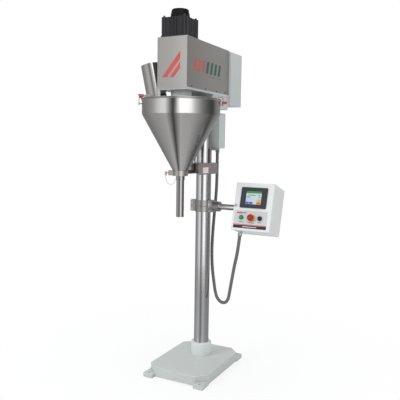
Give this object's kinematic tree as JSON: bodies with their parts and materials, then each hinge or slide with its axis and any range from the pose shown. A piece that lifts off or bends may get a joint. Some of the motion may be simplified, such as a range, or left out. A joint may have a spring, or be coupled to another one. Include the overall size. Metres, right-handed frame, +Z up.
{
  "type": "auger powder filler",
  "caption": "Floor-standing auger filler: motor head and conical powder hopper on a column, narrow filling nozzle below, and a control box with buttons and screen on a swinging arm.",
  "frame": {"origin": "on the floor, at the centre of the four anchor holes", "axes": "+X towards the control box, -Y towards the front (nozzle side), +Z up"},
  "size_m": [0.8271, 0.901, 2.328],
  "materials": {
    "painted_casting": "satin paint, pale grey-green",
    "painted_sheet": "satin paint, pale grey",
    "white_paint": "fine texture paint, white",
    "polished_steel": "polished",
    "satin_steel": "satin",
    "brushed_sheet": "brushed",
    "plain_steel": "machined",
    "black_motor": "satin paint, black",
    "grey_motor": "satin paint",
    "bolt_steel": "bright zinc",
    "belt_rubber": "matt",
    "cast_bearing": "painted",
    "red_vinyl": "dipped vinyl",
    "yellow_plastic": "soft",
    "conduit_grey": "corrugated sheath, satin",
    "panel_plastic": "fine grain",
    "screen_glass": "lit screen",
    "button_green": "moulded",
    "button_red": "moulded",
    "button_black": "moulded",
    "bezel_plastic": "moulded"
  },
  "bodies": {
    "stand": {"base": "painted_casting", "column_socket": "painted_casting", "column_tube": "polished_steel", "column_bracket": "brushed_sheet", "bracket_clamp": "satin_steel", "bracket_bolts": "bolt_steel", "support_yoke": "satin_steel", "junction_stand": "satin_steel", "junction_box": "white_paint", "junction_lid": "white_paint", "stand_gland": "plain_steel", "head_frame": "painted_casting", "head_cover": "brushed_sheet", "cover_screws": "bolt_steel", "rear_enclosure": "painted_sheet", "rear_lid": "painted_sheet", "bearing_housing": "cast_bearing", "spindle_bearings": "plain_steel", "motor_body": "black_motor", "motor_bolts": "bolt_steel", "motor_cap": "black_motor", "agitator_gearmotor": "grey_motor", "agitator_belt": "belt_rubber", "hopper": "satin_steel", "hopper_lid": "satin_steel", "infeed_tube": "satin_steel", "nozzle_collar": "polished_steel", "nozzle": "polished_steel", "quick_pin": "plain_steel", "pin_sleeve": "yellow_plastic", "lanyard": "plain_steel", "front_latch_base": "satin_steel", "rear_latch_base": "satin_steel", "conduit": "conduit_grey"},
    "spindle": {"drive_spindle": "plain_steel", "motor_shaft": "plain_steel", "shaft_coupling": "plain_steel", "auger": "polished_steel"},
    "agitator": {"agitator_sleeve": "plain_steel", "agitator_blades": "polished_steel"},
    "pulley": {"agitator_pulley": "plain_steel"},
    "front_lever": {"front_latch_lever": "satin_steel", "front_latch_grip": "red_vinyl"},
    "front_hook": {"front_latch_hook": "bolt_steel"},
    "rear_lever": {"rear_latch_lever": "satin_steel", "rear_latch_grip": "red_vinyl"},
    "rear_hook": {"rear_latch_hook": "bolt_steel"},
    "arm": {"arm_clamp": "satin_steel", "arm_clamp_bolts": "bolt_steel", "arm_tube": "polished_steel"},
    "control": {"control_box": "white_paint", "box_gland": "plain_steel"},
    "door": {"control_door": "white_paint", "operator_panel": "panel_plastic", "panel_screen": "screen_glass", "button_bezels": "bezel_plastic"},
    "start": {"start_button": "button_green"},
    "stop": {"stop_button": "button_red"},
    "selector": {"selector_knob": "button_black"},
    "lock": {"door_lock": "plain_steel"}
  },
  "joints": [
    {"name": "spindle_spin", "type": "hinge", "parent": "stand", "child": "spindle", "pos_m": [0, -0.23, 1.2], "axis": [0, 0, 1], "continuous": true},
    {"name": "agitator_spin", "type": "hinge", "parent": "stand", "child": "agitator", "pos_m": [0, -0.23, 1.7], "axis": [0, 0, 1], "continuous": true},
    {"name": "pulley_spin", "type": "hinge", "parent": "stand", "child": "pulley", "pos_m": [0, -0.05, 1.89], "axis": [0, 0, 1], "continuous": true},
    {"name": "front_latch_lift", "type": "hinge", "parent": "stand", "child": "front_lever", "pos_m": [-0.18533, -0.337, 1.8095], "axis": [-0.5, 0.866, 0], "range_deg": [0, 70]},
    {"name": "front_hook_swing", "type": "hinge", "parent": "front_lever", "child": "front_hook", "pos_m": [-0.1732, -0.33, 1.8095], "axis": [-0.5, 0.866, 0], "range_deg": [-70, 0]},
    {"name": "rear_latch_lift", "type": "hinge", "parent": "stand", "child": "rear_lever", "pos_m": [0.18533, -0.123, 1.8095], "axis": [0.5, -0.866, 0], "range_deg": [0, 70]},
    {"name": "rear_hook_swing", "type": "hinge", "parent": "rear_lever", "child": "rear_hook", "pos_m": [0.1732, -0.13, 1.8095], "axis": [0.5, -0.866, 0], "range_deg": [-70, 0]},
    {"name": "arm_swivel", "type": "hinge", "parent": "stand", "child": "arm", "pos_m": [0, 0.09, 1.104], "axis": [0, 0, 1], "range_deg": [-40, 60], "deforming": ["conduit"]},
    {"name": "box_tilt", "type": "hinge", "parent": "arm", "child": "control", "pos_m": [0.282, 0.09, 1.104], "axis": [1, 0, 0], "range_deg": [-14, 16.36], "deforming": ["conduit"]},
    {"name": "door_swing", "type": "hinge", "parent": "control", "child": "door", "pos_m": [0.54, -0.01727, 1.13549], "axis": [0, 0.2817, 0.9595], "range_deg": [0, 110]},
    {"name": "lock_turn", "type": "hinge", "parent": "door", "child": "lock", "pos_m": [0.297, -0.03423, 1.13526], "axis": [0, 0.9595, -0.2817], "range_deg": [0, 90]},
    {"name": "start_press", "type": "slide", "parent": "door", "child": "start", "axis": [0, 0.9595, -0.2817], "range_m": [0, 0.004], "stiffness_N_per_m": 600},
    {"name": "stop_press", "type": "slide", "parent": "door", "child": "stop", "axis": [0, 0.9595, -0.2817], "range_m": [0, 0.005], "stiffness_N_per_m": 1200},
    {"name": "selector_turn", "type": "hinge", "parent": "door", "child": "selector", "pos_m": [0.4685, -0.05507, 1.06425], "axis": [0, 0.9595, -0.2817], "range_deg": [-45, 45]}
  ],
  "couplings": [
    {"joint": "pulley_spin", "follows": "agitator_spin", "ratio": 1},
    {"joint": "front_hook_swing", "follows": "front_latch_lift", "ratio": -1},
    {"joint": "rear_hook_swing", "follows": "rear_latch_lift", "ratio": -1}
  ]
}
